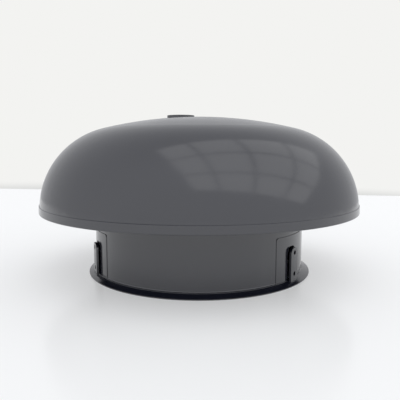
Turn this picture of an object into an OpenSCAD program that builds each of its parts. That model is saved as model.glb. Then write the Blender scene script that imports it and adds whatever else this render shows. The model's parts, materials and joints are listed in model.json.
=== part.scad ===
// Mushroom vent cap that fits over the top of a plastic vent pipe.
// Two mouldings: a domed hood on three legs, and a flanged collar that holds the legs and grips the pipe.
// The origin is on the pipe's axis at the underside of the collar's flange, with Z up.

/* [Pipe] */
// Outer diameter of the pipe that the collar slides over
pipe_d = 160; // [125:1:200]
// Difference between the collar's bore and the pipe, on the diameter
pipe_gap = 1; // [0.4:0.1:3]
// How far the pipe enters before it meets the stop ring
pipe_depth = 44; // [38:1:60]

/* [Collar] */
// Wall of the collar
collar_wall = 2.5; // [1.6:0.1:4]
// Height of the collar above the stop ring
collar_lip = 15; // [12:0.5:30]
// How far the stop ring reaches inwards past the bore
stop_ring_w = 7.5; // [7.5:0.1:12]
// Thickness of the stop ring
stop_ring_t = 3; // [2:0.1:5]

/* [Flange] */
// How far the flange stands out from the collar's wall
flange_w = 6.2; // [5.5:0.1:20]
// Thickness of the flange where it meets the wall
flange_root_t = 3.1; // [2.4:0.1:5]
// Thickness of the flange at its outer edge, less than at the root so that water runs off
flange_edge_t = 0.8; // [0.6:0.1:2]
// Radius between the wall's foot and the flange
foot_r = 0.8; // [0.3:0.1:1.2]

/* [Clamping tabs] */
// Number of clamping tabs, and of legs above them
tab_n = 3; // [2:1:5]
// Width of a tab
tab_w = 10; // [7:0.5:16]
// Height of a tab's top above the flange's underside
tab_h = 26.6; // [20:0.1:32]
// Thickness of a tab
tab_t = 1.6; // [1:0.1:2.4]
// How far a tab's outer face stands out from the collar's wall
tab_proud = 3; // [2.5:0.1:4]
// Radius of a tab's top corners
tab_corner_r = 4; // [1:0.1:5]
// Gap between a tab and the edge of the window behind it
slot_gap = 1; // [0.5:0.1:2]
// Diameter of the two screw holes in a tab
screw_hole_d = 3.2; // [2:0.1:4.5]
// Height of the lower screw hole above the flange's underside
screw_hole_z = 7.4; // [6:0.1:10]
// Distance between the two screw holes
screw_hole_pitch = 15.6; // [8:0.1:17]

/* [Pads] */
// Width of the flat pad that frames each tab
pad_w = 38; // [24:0.5:50]
// Height of the pad's top above the flange's underside
pad_h = 35.5; // [32:0.5:38]
// How far the pad stands out from the wall
pad_t = 0.4; // [0.2:0.05:0.8]
// Radius of the pad's top corners
pad_corner_r = 2; // [0.5:0.1:5]

/* [Hood] */
// Diameter of the hood over its rim band
hood_d = 250; // [240:1:320]
// Height of the hood's lower edge above the flange's underside
hood_rim_z = 49.5; // [20:0.5:55]
// Wall of the hood
hood_wall = 2.5; // [1.6:0.1:4]
// Radius of the shoulder between rim and crown
shoulder_r = 63.5; // [50:0.5:80]
// Radius of the shallow crown
crown_r = 316; // [260:1:400]
// Height of the straight stretch above the hood's lower edge
rim_straight = 1.5; // [0.5:0.1:5]
// Height of the band round the rim
band_h = 6; // [4:0.1:12]
// How far the band stands out from the hood
band_t = 0.4; // [0.2:0.1:1.5]
// How much further the band flares out at the lower edge
band_flare = 0.2; // [0.1:0.1:1]
// Radius of the lower edge's outer corner
rim_edge_r = 0.8; // [0.3:0.1:1]

/* [Crown mark] */
// Diameter of the round moulding pad near the top of the crown
mark_d = 22; // [12:0.5:30]
// Height of the moulding pad
mark_t = 1.9; // [0.6:0.1:2.5]
// Distance of the moulding pad from the axis
mark_offset = 15; // [0:0.5:25]

/* [Legs] */
// Width of a leg in its socket
leg_w = 26; // [16:0.5:32]
// Width of a leg where it meets the hood
leg_top_w = 38; // [33:0.5:50]
// Thickness of a leg's curved plate
leg_t = 3; // [2:0.1:3.5]
// Glue gap between a leg and the sides of its socket
leg_gap = 0.2; // [0.1:0.05:0.4]
// Depth of a leg's socket
socket_h = 12; // [8:0.5:20]
// Thickness of a socket's walls
socket_wall = 2; // [1.2:0.1:3]
// Thickness of the rib down the inside of a leg
rib_t = 2.5; // [1.6:0.1:4]
// How far the rib reaches inwards at the hood
rib_reach = 16; // [4:0.5:20]
// Height of the ring under the dome that the legs grow from, measured at its outer face
leg_ring_h = 7; // [5:0.5:12]
// How far that ring stands out past each face of a leg
leg_ring_step = 0.6; // [0.4:0.1:1.5]

/* [Hidden] */
$fn = 180;

// Collar radii and heights
bore_r = (pipe_d + pipe_gap) / 2;
wall_r = bore_r + collar_wall;
flange_r = wall_r + flange_w;
stop_r = bore_r - stop_ring_w;
stop_top_z = pipe_depth + stop_ring_t;
collar_h = stop_top_z + collar_lip;
edge_round_r = flange_edge_t / 2;

// Tabs and their windows
tab_r = wall_r + tab_proud;
window_w = tab_w + 2 * slot_gap;
window_h = tab_h + slot_gap;
tab_root_z = flange_edge_t / 2;
tab_step = 360 / tab_n;
first_tab = 90;

// Legs and their sockets
leg_r = bore_r - leg_gap;
leg_flare_z = stop_top_z + socket_h + 2;
rib_foot = 1.5;
leg_ring_r = leg_r + leg_ring_step;
leg_ring_w = leg_t + 2 * leg_ring_step;

// The hood's outline is a shallow crown arc that meets a shoulder arc without a corner
dome_r = hood_d / 2 - band_t - band_flare;
shoulder_z = hood_rim_z + rim_straight;
shoulder_x = dome_r - shoulder_r;
crown_z = shoulder_z - sqrt(pow(crown_r - shoulder_r, 2) - pow(shoulder_x, 2));
hood_top_z = crown_z + crown_r;
leg_ring_z = shoulder_z + sqrt(pow(shoulder_r - hood_wall, 2) - pow(leg_ring_r - shoulder_x, 2)) - leg_ring_h;
leg_top_z = leg_ring_z + leg_ring_h / 2;
mark_seat_z = crown_z + sqrt(pow(crown_r, 2) - pow(mark_offset + mark_d / 2, 2)) - hood_wall / 2;
mark_top_z = crown_z + sqrt(pow(crown_r, 2) - pow(mark_offset, 2)) + mark_t;
far = 3 * hood_d;
eps = 0.01;

// Removes the corner of a section that lies towards +X and -Y of a point
module corner_cut(x, y, r) {
    translate([x - r, y])
        difference() {
            square([r + eps, r]);
            translate([0, r])
                circle(r);
        }
}

// Everything under the hood's outline, drawn back by the given inset, down to the given height
module dome_fill(inset, floor_z) {
    // Direction in which the two arcs meet, seen from the crown's centre
    meet_x = far * shoulder_x / (crown_r - shoulder_r);
    meet_z = far * (shoulder_z - crown_z) / (crown_r - shoulder_r);
    intersection() {
        translate([0, crown_z])
            circle(crown_r - inset);
        polygon([[0, shoulder_z], [shoulder_x, shoulder_z], [meet_x, crown_z + meet_z], [0, crown_z + meet_z]]);
    }
    intersection() {
        translate([shoulder_x, shoulder_z])
            circle(shoulder_r - inset);
        polygon([[shoulder_x, shoulder_z], [far, shoulder_z], [far, crown_z + meet_z], [meet_x, crown_z + meet_z]]);
    }
    translate([0, floor_z])
        square([dome_r - inset, shoulder_z - floor_z]);
}

// Section of the hood: the dome's shell, the band round its rim and the ring under it that the legs grow from
module hood_section() {
    difference() {
        union() {
            dome_fill(0, hood_rim_z);
            polygon([
                [dome_r - hood_wall / 2, hood_rim_z],
                [hood_d / 2, hood_rim_z],
                [hood_d / 2 - band_flare, hood_rim_z + band_h - band_t],
                [dome_r - band_t, hood_rim_z + band_h],
                [dome_r - hood_wall / 2, hood_rim_z + band_h]
            ]);
        }
        difference() {
            dome_fill(hood_wall, hood_rim_z - 1);
            translate([leg_ring_r - leg_ring_w, leg_ring_z])
                square([leg_ring_w, hood_top_z]);
        }
        corner_cut(hood_d / 2, hood_rim_z, rim_edge_r);
    }
}

// A flat outline with a straight foot and two rounded top corners, standing on the X axis
module round_top(w, h, r) {
    translate([-w / 2, 0])
        square([w, h - r]);
    translate([-w / 2 + r, 0])
        square([w - 2 * r, h]);
    for (side = [-1, 1])
        translate([side * (w / 2 - r), h - r])
            circle(r);
}

// Stands a flat outline up at a radius on the +X side and extrudes it outwards
module radial_extrude(from_r, to_r, z) {
    translate([from_r, 0, z])
        rotate([90, 0, 90])
            linear_extrude(to_r - from_r)
                children();
}

module ring(outer_r, inner_r, from_z, to_z) {
    difference() {
        translate([0, 0, from_z])
            cylinder(h = to_z - from_z, r = outer_r);
        translate([0, 0, from_z - 1])
            cylinder(h = to_z - from_z + 2, r = inner_r);
    }
}

// Repeats its children at each tab's bearing
module at_tabs() {
    for (i = [0 : tab_n - 1])
        rotate([0, 0, first_tab + i * tab_step])
            children();
}

// One leg: a curved plate that widens towards the hood, with a tapering rib on its inner face
module leg() {
    intersection() {
        ring(leg_r, leg_r - leg_t, stop_top_z, leg_top_z);
        radial_extrude(0, bore_r, 0)
            polygon([
                [-leg_w / 2, stop_top_z - 1],
                [leg_w / 2, stop_top_z - 1],
                [leg_w / 2, leg_flare_z],
                [leg_top_w / 2, leg_top_z + 1],
                [-leg_top_w / 2, leg_top_z + 1],
                [-leg_w / 2, leg_flare_z]
            ]);
    }
    translate([0, rib_t / 2, 0])
        rotate([90, 0, 0])
            linear_extrude(rib_t)
                polygon([
                    [leg_r - leg_t / 2, leg_flare_z],
                    [leg_r - leg_t / 2, hood_top_z],
                    [leg_r - leg_t - rib_reach, hood_top_z],
                    [leg_r - leg_t - rib_foot, leg_flare_z]
                ]);
}

// The pocket inside the collar that takes a leg's foot
module socket() {
    cavity_r = leg_r - leg_t - leg_gap;
    difference() {
        intersection() {
            ring(bore_r + collar_wall / 2, cavity_r - socket_wall, pipe_depth + stop_ring_t / 2, stop_top_z + socket_h);
            translate([0, -leg_w / 2 - leg_gap - socket_wall, 0])
                cube([far, leg_w + 2 * (leg_gap + socket_wall), collar_h]);
        }
        intersection() {
            ring(bore_r + 1, cavity_r, stop_top_z, collar_h + 1);
            translate([0, -leg_w / 2 - leg_gap, 0])
                cube([far, leg_w + 2 * leg_gap, 2 * collar_h]);
        }
    }
}

// Section of the collar's wall, flange and stop ring
module collar_section() {
    difference() {
        union() {
            translate([bore_r, 0])
                square([collar_wall, collar_h]);
            polygon([
                [bore_r + collar_wall / 2, 0],
                [flange_r, 0],
                [flange_r, flange_edge_t],
                [wall_r, flange_root_t],
                [bore_r + collar_wall / 2, flange_root_t]
            ]);
            difference() {
                translate([wall_r - eps, flange_root_t - foot_r / 2])
                    square([foot_r, foot_r * 1.5]);
                translate([wall_r + foot_r, flange_root_t + foot_r])
                    circle(foot_r);
            }
            translate([stop_r, pipe_depth])
                square([stop_ring_w + collar_wall / 2, stop_ring_t]);
        }
        corner_cut(flange_r, 0, edge_round_r);
    }
}

// One clamping tab, free at its top and joined to the flange at its foot
module tab() {
    difference() {
        intersection() {
            ring(tab_r, tab_r - tab_t, tab_root_z, tab_h + 1);
            radial_extrude(0, tab_r + 1, 0)
                round_top(tab_w, tab_h, tab_corner_r);
        }
        for (z = [screw_hole_z, screw_hole_z + screw_hole_pitch])
            translate([wall_r - tab_t, 0, z])
                rotate([0, 90, 0])
                    cylinder(h = tab_proud + 2 * tab_t, d = screw_hole_d, $fn = 48);
    }
}

module hood() {
    color("#54565c") {
        rotate_extrude()
            hood_section();
        at_tabs()
            intersection() {
                leg();
                rotate_extrude()
                    dome_fill(hood_wall / 2, 0);
            }
        translate([-mark_offset, 0, mark_seat_z])
            cylinder(h = mark_top_z - mark_seat_z, d = mark_d);
    }
}

module collar() {
    color("#4a4c52") {
        difference() {
            union() {
                rotate_extrude()
                    collar_section();
                at_tabs()
                    intersection() {
                        ring(wall_r + pad_t, bore_r + collar_wall / 2, flange_root_t / 2, pad_h + 1);
                        radial_extrude(0, wall_r + 1, 0)
                            round_top(pad_w, pad_h, pad_corner_r);
                    }
            }
            at_tabs()
                radial_extrude(stop_r, flange_r + 1, flange_root_t)
                    round_top(window_w, window_h - flange_root_t, tab_corner_r + slot_gap);
        }
        at_tabs() {
            tab();
            socket();
        }
    }
}

hood();
collar();
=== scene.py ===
# %% [markdown]
# A mushroom vent cap in glossy dark plastic: a domed hood on three legs, over a flanged collar.
# Two mouldings carry everything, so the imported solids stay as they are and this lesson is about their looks.
# A dark glossy surface has little colour of its own, so most of the work is in what it mirrors.

import json
import math

import bpy
from mathutils import Matrix, Vector

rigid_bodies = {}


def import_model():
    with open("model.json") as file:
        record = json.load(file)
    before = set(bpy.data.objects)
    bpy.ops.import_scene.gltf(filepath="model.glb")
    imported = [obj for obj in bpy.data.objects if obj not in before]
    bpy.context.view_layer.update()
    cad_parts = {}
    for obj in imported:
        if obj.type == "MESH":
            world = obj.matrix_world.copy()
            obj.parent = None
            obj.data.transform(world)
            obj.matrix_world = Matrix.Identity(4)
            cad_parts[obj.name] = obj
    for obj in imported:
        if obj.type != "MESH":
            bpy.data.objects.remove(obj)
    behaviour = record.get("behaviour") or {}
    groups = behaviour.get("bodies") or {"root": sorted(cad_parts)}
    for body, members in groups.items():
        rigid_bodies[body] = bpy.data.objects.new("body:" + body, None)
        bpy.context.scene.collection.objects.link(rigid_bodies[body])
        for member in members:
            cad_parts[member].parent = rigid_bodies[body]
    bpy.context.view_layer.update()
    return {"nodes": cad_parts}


for leftover in list(bpy.data.objects):
    bpy.data.objects.remove(leftover)
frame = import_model()
hood, collar = frame["nodes"]["hood"], frame["nodes"]["collar"]

MM = 0.001
IMAGE_PX = 400


# %% [markdown]
# Colours are given as sRGB hex values, but the renderer adds up light in linear values.
# One function turns the first into the second.

# %% Colour helper
def linear(hex_colour):
    """An sRGB hex colour as linear red, green, blue and alpha."""
    parts = [int(hex_colour[i:i + 2], 16) / 255 for i in (1, 3, 5)]
    return tuple(c / 12.92 if c <= 0.04045 else ((c + 0.055) / 1.055) ** 2.4 for c in parts) + (1.0,)


print("mid grey is", round(linear("#808080")[0], 3), "in linear light")


# %% [markdown]
# A material is a graph of nodes. This helper adds one node, sets its properties, and fills each named input
# with either a value or a link from another node's output.

# %% Node helper
def add_node(tree, kind, inputs=None, **settings):
    """Adds a node to a tree. An input is given a value, or a node's output socket to link from."""
    node = tree.nodes.new(kind)
    for name, value in settings.items():
        setattr(node, name, value)
    for name, value in (inputs or {}).items():
        if isinstance(value, bpy.types.NodeSocket):
            tree.links.new(value, node.inputs[name])
        else:
            node.inputs[name].default_value = value
    return node


def new_material(name):
    """An empty node material with its output, as (material, tree, output)."""
    material = bpy.data.materials.new(name)
    material.use_nodes = True
    material.node_tree.nodes.clear()
    return material, material.node_tree, material.node_tree.nodes.new("ShaderNodeOutputMaterial")


# %% [markdown]
# The camera stands where the photographer's did. Its place was worked out from the ellipses that the rim,
# the wall and the flange draw in the picture: how flat each one is gives the height, and how they differ
# gives the distance.

# %% Camera
CAM_BEARING = math.radians(276.9)   # where the camera stands around the cap, from +X towards +Y
CAM_OUT = 0.3729                    # metres from the cap's axis
CAM_UP = 0.0986                     # metres above the flange's underside
CAM_PITCH = math.radians(6.68)      # how far it looks down
FOCAL_PX = 456.1                    # focal length in picture pixels
AXIS_PX = 199.2                     # the cap's axis in the picture

camera_data = bpy.data.cameras.new("camera")
camera_data.sensor_width = 36
camera_data.lens = camera_data.sensor_width * FOCAL_PX / IMAGE_PX
camera_data.shift_x = (IMAGE_PX / 2 - AXIS_PX) / IMAGE_PX
camera_data.clip_start = 0.01
camera = bpy.data.objects.new("camera", camera_data)
bpy.context.scene.collection.objects.link(camera)
camera.location = (CAM_OUT * math.cos(CAM_BEARING), CAM_OUT * math.sin(CAM_BEARING), CAM_UP)
camera.rotation_euler = (math.pi / 2 - CAM_PITCH, 0, CAM_BEARING - 1.5 * math.pi)
bpy.context.scene.camera = camera
print("camera at", [round(v, 3) for v in camera.location], "lens", round(camera_data.lens, 1), "mm")

# %% [markdown]
# Both pieces are injection-moulded ABS, black with a touch of blue. The mould was polished, so the skin is
# glossy, with a slow waviness where the plastic shrank as it cooled. The eye reads the gloss from sharp
# reflections, and the moulding from their slight wobble. Two waves do that: a slow one some 30 mm long, and
# a fine one of about 1 mm. Handling leaves hairline scuffs and a haze, which show only as small changes in
# roughness. ABS has an IOR of about 1.54. It was raised until the dome mirrored the room as strongly as in
# the picture, and the pigment was darkened to keep the shaded parts as black.

# %% Moulded ABS
ABS_IOR = 1.78
ABS_GREY = "#191b25"
SHRINK_WAVE_MM = 30
SKIN_WAVE_MM = 1.2
HAIRLINE_MM = 0.5      # a real one is near 0.05 mm wide, drawn coarser so that it shows
HAIRLINE_STRETCH = 0.06
HAIRLINE_TURN = (0.4, 0.9, 0.3)
HAZE_CLOUD_MM = 18
EDGE_RADIUS_MM = 0.2


def moulded_abs(name, grey, roughness, shrink_um, skin_um):
    """Glossy black-grey ABS. The two wave heights are in micrometres."""
    material, tree, out = new_material(name)
    place = add_node(tree, "ShaderNodeTexCoord").outputs["Object"]
    shrink = add_node(tree, "ShaderNodeTexNoise", {
        "Vector": place, "Scale": 1 / (SHRINK_WAVE_MM * MM), "Detail": 1.0,
    })
    skin = add_node(tree, "ShaderNodeTexNoise", {
        "Vector": place, "Scale": 1 / (SKIN_WAVE_MM * MM), "Detail": 2.0,
    })
    stretch = add_node(tree, "ShaderNodeMapping", {
        "Vector": place, "Rotation": HAIRLINE_TURN, "Scale": (1, 1, HAIRLINE_STRETCH),
    })
    hairs = add_node(tree, "ShaderNodeTexNoise", {
        "Vector": stretch.outputs["Vector"], "Scale": 1 / (HAIRLINE_MM * MM), "Detail": 1.0,
    })
    cloud = add_node(tree, "ShaderNodeTexNoise", {
        "Vector": place, "Scale": 1 / (HAZE_CLOUD_MM * MM), "Detail": 4.0,
    })

    tint = add_node(tree, "ShaderNodeHueSaturation", {
        "Color": linear(grey),
        "Value": add_node(tree, "ShaderNodeMapRange", {
            "Value": cloud.outputs["Fac"], "From Min": 0.3, "From Max": 0.7, "To Min": 0.96, "To Max": 1.05,
        }).outputs["Result"],
    })
    rub = add_node(tree, "ShaderNodeMapRange", {
        "Value": hairs.outputs["Fac"], "From Min": 0.62, "From Max": 0.75, "To Min": 0.0, "To Max": 0.10,
    })
    haze = add_node(tree, "ShaderNodeMapRange", {
        "Value": cloud.outputs["Fac"], "From Min": 0.3, "From Max": 0.7,
        "To Min": roughness, "To Max": roughness + 0.05,
    })
    rough = add_node(tree, "ShaderNodeMath", operation="ADD")
    tree.links.new(rub.outputs["Result"], rough.inputs[0])
    tree.links.new(haze.outputs["Result"], rough.inputs[1])

    edge = add_node(tree, "ShaderNodeBevel", {"Radius": EDGE_RADIUS_MM * MM}, samples=6)
    slow = add_node(tree, "ShaderNodeBump", {
        "Height": shrink.outputs["Fac"], "Distance": shrink_um * MM * MM, "Strength": 1.0,
        "Normal": edge.outputs["Normal"],
    })
    fine = add_node(tree, "ShaderNodeBump", {
        "Height": skin.outputs["Fac"], "Distance": skin_um * MM * MM, "Strength": 1.0,
        "Normal": slow.outputs["Normal"],
    })
    shader = add_node(tree, "ShaderNodeBsdfPrincipled", {
        "Base Color": tint.outputs["Color"], "Roughness": rough.outputs["Value"],
        "Normal": fine.outputs["Normal"], "IOR": ABS_IOR,
    })
    tree.links.new(shader.outputs["BSDF"], out.inputs["Surface"])
    return material


hood_abs = moulded_abs("hood_moulded_abs", ABS_GREY, roughness=0.12, shrink_um=60, skin_um=0.6)
collar_abs = moulded_abs("collar_moulded_abs", ABS_GREY, roughness=0.14, shrink_um=60, skin_um=0.8)
for node, material in ((hood, hood_abs), (collar, collar_abs)):
    for slot in node.material_slots:
        slot.material = material
    print(node.name, "wears", material.name)

# %% [markdown]
# The cap stands on a white lacquered table. Gloss lacquer mirrors the base faintly at this low angle.
# The table ends behind the cap, and that edge is the soft horizon in the picture.
# The table is shown whiter than its light makes it, as product pictures do. A little emission that only the
# camera
# and the mirroring plastic see does that: it is painted light, which whitens the table and lifts the cap's
# shadow on it, and lights nothing. It stops under the flange, so that the table inside the collar stays dark
# behind the slots.

# %% Table
TABLE_BACK = 0.603     # metres from the axis to the far edge
TABLE_FRONT = 2.2
TABLE_SIDE = 2.2
TABLE_TURN = math.radians(-10.5)   # the far edge comes nearer to the right, so it falls there
PAINTED_TABLE_LIFT = 0.32      # share of full white that is added outside the collar as painted light, which lifts the cap's shadow
LIFT_STARTS = 0.086    # metres from the axis, hidden under the flange
LACQUER_WAVE_MM = 60

table_mesh = bpy.data.meshes.new("table")
table_mesh.from_pydata(
    [(-TABLE_SIDE, -TABLE_FRONT, 0), (TABLE_SIDE, -TABLE_FRONT, 0),
     (TABLE_SIDE, TABLE_BACK, 0), (-TABLE_SIDE, TABLE_BACK, 0)],
    [], [(0, 1, 2, 3)])
table = bpy.data.objects.new("table", table_mesh)
bpy.context.scene.collection.objects.link(table)
table.rotation_euler = (0, 0, camera.rotation_euler.z + TABLE_TURN)

lacquer, tree, out = new_material("white_gloss_lacquer_with_painted_glow")
place = add_node(tree, "ShaderNodeTexCoord").outputs["Object"]
wave = add_node(tree, "ShaderNodeTexNoise", {
    "Vector": place, "Scale": 1 / (LACQUER_WAVE_MM * MM), "Detail": 1.0,
})
ripple = add_node(tree, "ShaderNodeBump", {"Height": wave.outputs["Fac"], "Distance": 0.0001})
shader = add_node(tree, "ShaderNodeBsdfPrincipled", {
    "Base Color": linear("#c9caca"), "Roughness": 0.18, "IOR": 1.4,
    "Normal": ripple.outputs["Normal"],
})
rays = add_node(tree, "ShaderNodeLightPath")
direct = add_node(tree, "ShaderNodeMath", operation="MAXIMUM")
tree.links.new(rays.outputs["Is Camera Ray"], direct.inputs[0])
tree.links.new(rays.outputs["Is Glossy Ray"], direct.inputs[1])
lift = add_node(tree, "ShaderNodeMath", operation="MULTIPLY")
radius = add_node(tree, "ShaderNodeVectorMath", operation="LENGTH")
tree.links.new(place, radius.inputs[0])
outside = add_node(tree, "ShaderNodeMapRange", {
    "Value": radius.outputs["Value"], "From Min": LIFT_STARTS, "From Max": LIFT_STARTS + 2 * MM,
    "To Min": 0.0, "To Max": PAINTED_TABLE_LIFT,
})
tree.links.new(direct.outputs["Value"], lift.inputs[0])
tree.links.new(outside.outputs["Result"], lift.inputs[1])
# painted light: the table glows for the camera and in the plastic's mirror, which lifts the cap's shadow on it
painted_table_glow = add_node(tree, "ShaderNodeEmission", {"Strength": lift.outputs["Value"]})
both = add_node(tree, "ShaderNodeAddShader")
tree.links.new(shader.outputs["BSDF"], both.inputs[0])
tree.links.new(painted_table_glow.outputs["Emission"], both.inputs[1])
tree.links.new(both.outputs["Shader"], out.inputs["Surface"])
table_mesh.materials.append(lacquer)
print("table made, far edge", TABLE_BACK, "m behind the axis")

# %% [markdown]
# A white room is the light. The world is a pale sphere, a little brighter on the camera's side than behind
# the cap. The camera's own rays see a second colour instead, so that the backdrop is pale grey without more
# light. Near the table's far edge that colour turns darker, a painted shade at the foot of the backdrop.

# %% White room
ROOM_FRONT = 1.15      # brightness of the room behind the camera
ROOM_BACK = 0.7        # brightness of the room behind the cap
BACKDROP = "#f3f3f1"
# painted shade: the backdrop's colour at its foot, darker where the table's far edge meets it
PAINTED_FOOT_SHADE = "#d6d7d6"
FOOT_RISE = (-0.101, -0.075)   # heights between which the painted shade at the foot of the backdrop fades out, on a unit sphere
FOOT_TILT = 0.02               # the painted shade falls to the right with the table's far edge

world = bpy.data.worlds.new("white_room")
bpy.context.scene.world = world
world.use_nodes = True
tree = world.node_tree
tree.nodes.clear()
direction = add_node(tree, "ShaderNodeTexCoord").outputs["Generated"]
towards = add_node(tree, "ShaderNodeVectorMath", operation="DOT_PRODUCT")
tree.links.new(direction, towards.inputs[0])
towards.inputs[1].default_value = (math.cos(CAM_BEARING), math.sin(CAM_BEARING), 0)
strength = add_node(tree, "ShaderNodeMapRange", {
    "Value": towards.outputs["Value"], "From Min": -0.8, "From Max": 0.6,
    "To Min": ROOM_BACK, "To Max": ROOM_FRONT,
}, interpolation_type="SMOOTHSTEP")
height = add_node(tree, "ShaderNodeVectorMath", operation="DOT_PRODUCT")
tree.links.new(direction, height.inputs[0])
height.inputs[1].default_value = (-FOOT_TILT * math.sin(CAM_BEARING), FOOT_TILT * math.cos(CAM_BEARING), 1)
rise = add_node(tree, "ShaderNodeMapRange", {
    "Value": height.outputs["Value"], "From Min": FOOT_RISE[0], "From Max": FOOT_RISE[1],
    "To Min": 0.0, "To Max": 1.0,
}, interpolation_type="SMOOTHSTEP")
# painted shade: the backdrop darkens towards its foot
shade = add_node(tree, "ShaderNodeMix", data_type="RGBA")
tree.links.new(rise.outputs["Result"], shade.inputs["Factor"])
shade.inputs[6].default_value = linear(PAINTED_FOOT_SHADE)
shade.inputs[7].default_value = linear(BACKDROP)
seen = add_node(tree, "ShaderNodeBackground", {"Color": shade.outputs[2], "Strength": 1.0})
lit = add_node(tree, "ShaderNodeBackground", {
    "Color": linear("#fbfcff"), "Strength": strength.outputs["Result"],
})
pick = add_node(tree, "ShaderNodeMixShader", {
    "Fac": add_node(tree, "ShaderNodeLightPath").outputs["Is Camera Ray"],
})
tree.links.new(lit.outputs["Background"], pick.inputs[1])
tree.links.new(seen.outputs["Background"], pick.inputs[2])
room = add_node(tree, "ShaderNodeOutputWorld", {"Surface": pick.outputs["Shader"]})
print("the room gives from", ROOM_BACK, "to", ROOM_FRONT, "of full white")

# %% [markdown]
# A roof window with glazing bars stands above and to the right. The dome bends its picture into the pale
# curved panes of the photograph. Each pane is one area lamp, and the gaps between the lamps are the bars.

# %% Roof window
WINDOW_CENTRE = Vector((0.62, -0.22, 1.15))
WINDOW_ALONG = Vector((0.40, -0.85, -0.33)).normalized()
PANE = (0.52, 0.56)
BAR = 0.05
PANE_COUNT = (4, 3)
PANE_RADIANCE = 0.45

normal = WINDOW_CENTRE.normalized()
along = (WINDOW_ALONG - normal * WINDOW_ALONG.dot(normal)).normalized()
across = along.cross(normal)
for column in range(PANE_COUNT[0]):
    for row in range(PANE_COUNT[1]):
        lamp = bpy.data.lights.new(f"pane_{column}_{row}", "AREA")
        lamp.shape = "RECTANGLE"
        lamp.size, lamp.size_y = PANE
        lamp.energy = PANE_RADIANCE * math.pi * PANE[0] * PANE[1]
        pane = bpy.data.objects.new(lamp.name, lamp)
        bpy.context.scene.collection.objects.link(pane)
        step = ((column - (PANE_COUNT[0] - 1) / 2) * (PANE[0] + BAR),
                (row - (PANE_COUNT[1] - 1) / 2) * (PANE[1] + BAR))
        turn = Matrix((across, along, normal)).transposed().to_4x4()
        pane.matrix_world = Matrix.Translation(WINDOW_CENTRE + across * step[0] + along * step[1]) @ turn
        pane.visible_camera = False
print("window of", PANE_COUNT[0] * PANE_COUNT[1], "panes")

# %% [markdown]
# The view transform is the plain one, so that a colour comes out as it is written.

# %% Finish
bpy.context.scene.view_settings.view_transform = "Standard"
